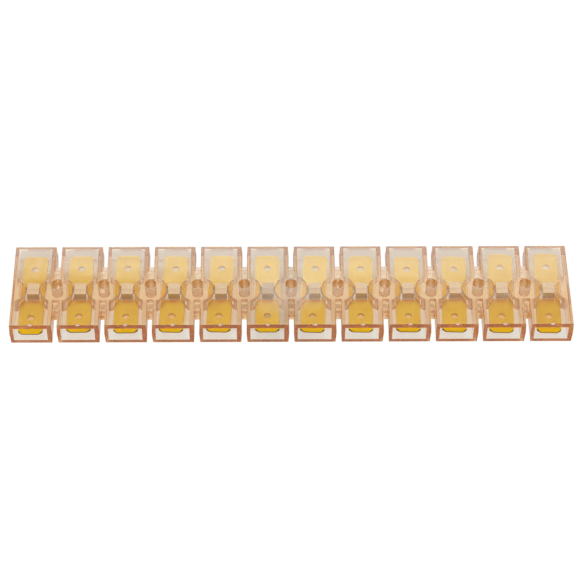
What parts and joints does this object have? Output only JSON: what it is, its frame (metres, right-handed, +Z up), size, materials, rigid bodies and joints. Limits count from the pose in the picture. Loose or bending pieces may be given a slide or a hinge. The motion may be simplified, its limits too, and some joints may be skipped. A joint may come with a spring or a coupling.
{
  "type": "spade connector strip",
  "caption": "Row of clear tinted plastic cells, each holding a flat brass double-ended push-on blade, joined by webs with fixing holes, for joining wires by spade terminals.",
  "frame": {"origin": "middle of the strip's length and depth, on the plane of the undersides", "axes": "+X along the row of ways, +Y from the front mouths to the back mouths, +Z up out of the top walls"},
  "size_m": [0.1452, 0.0266, 0.0071],
  "materials": {
    "clear_housing": "clear moulded polycarbonate with a peach tint, glossy, deeper orange where it is seen edge on",
    "brass_tab": "bright rolled brass sheet with fine rolling lines and dull cut edges"
  },
  "bodies": {
    "root": {"housing": "clear_housing", "spade_tab_01": "brass_tab", "spade_tab_02": "brass_tab", "spade_tab_03": "brass_tab", "spade_tab_04": "brass_tab", "spade_tab_05": "brass_tab", "spade_tab_06": "brass_tab", "spade_tab_07": "brass_tab", "spade_tab_08": "brass_tab", "spade_tab_09": "brass_tab", "spade_tab_10": "brass_tab", "spade_tab_11": "brass_tab", "spade_tab_12": "brass_tab"}
  },
  "joints": []
}
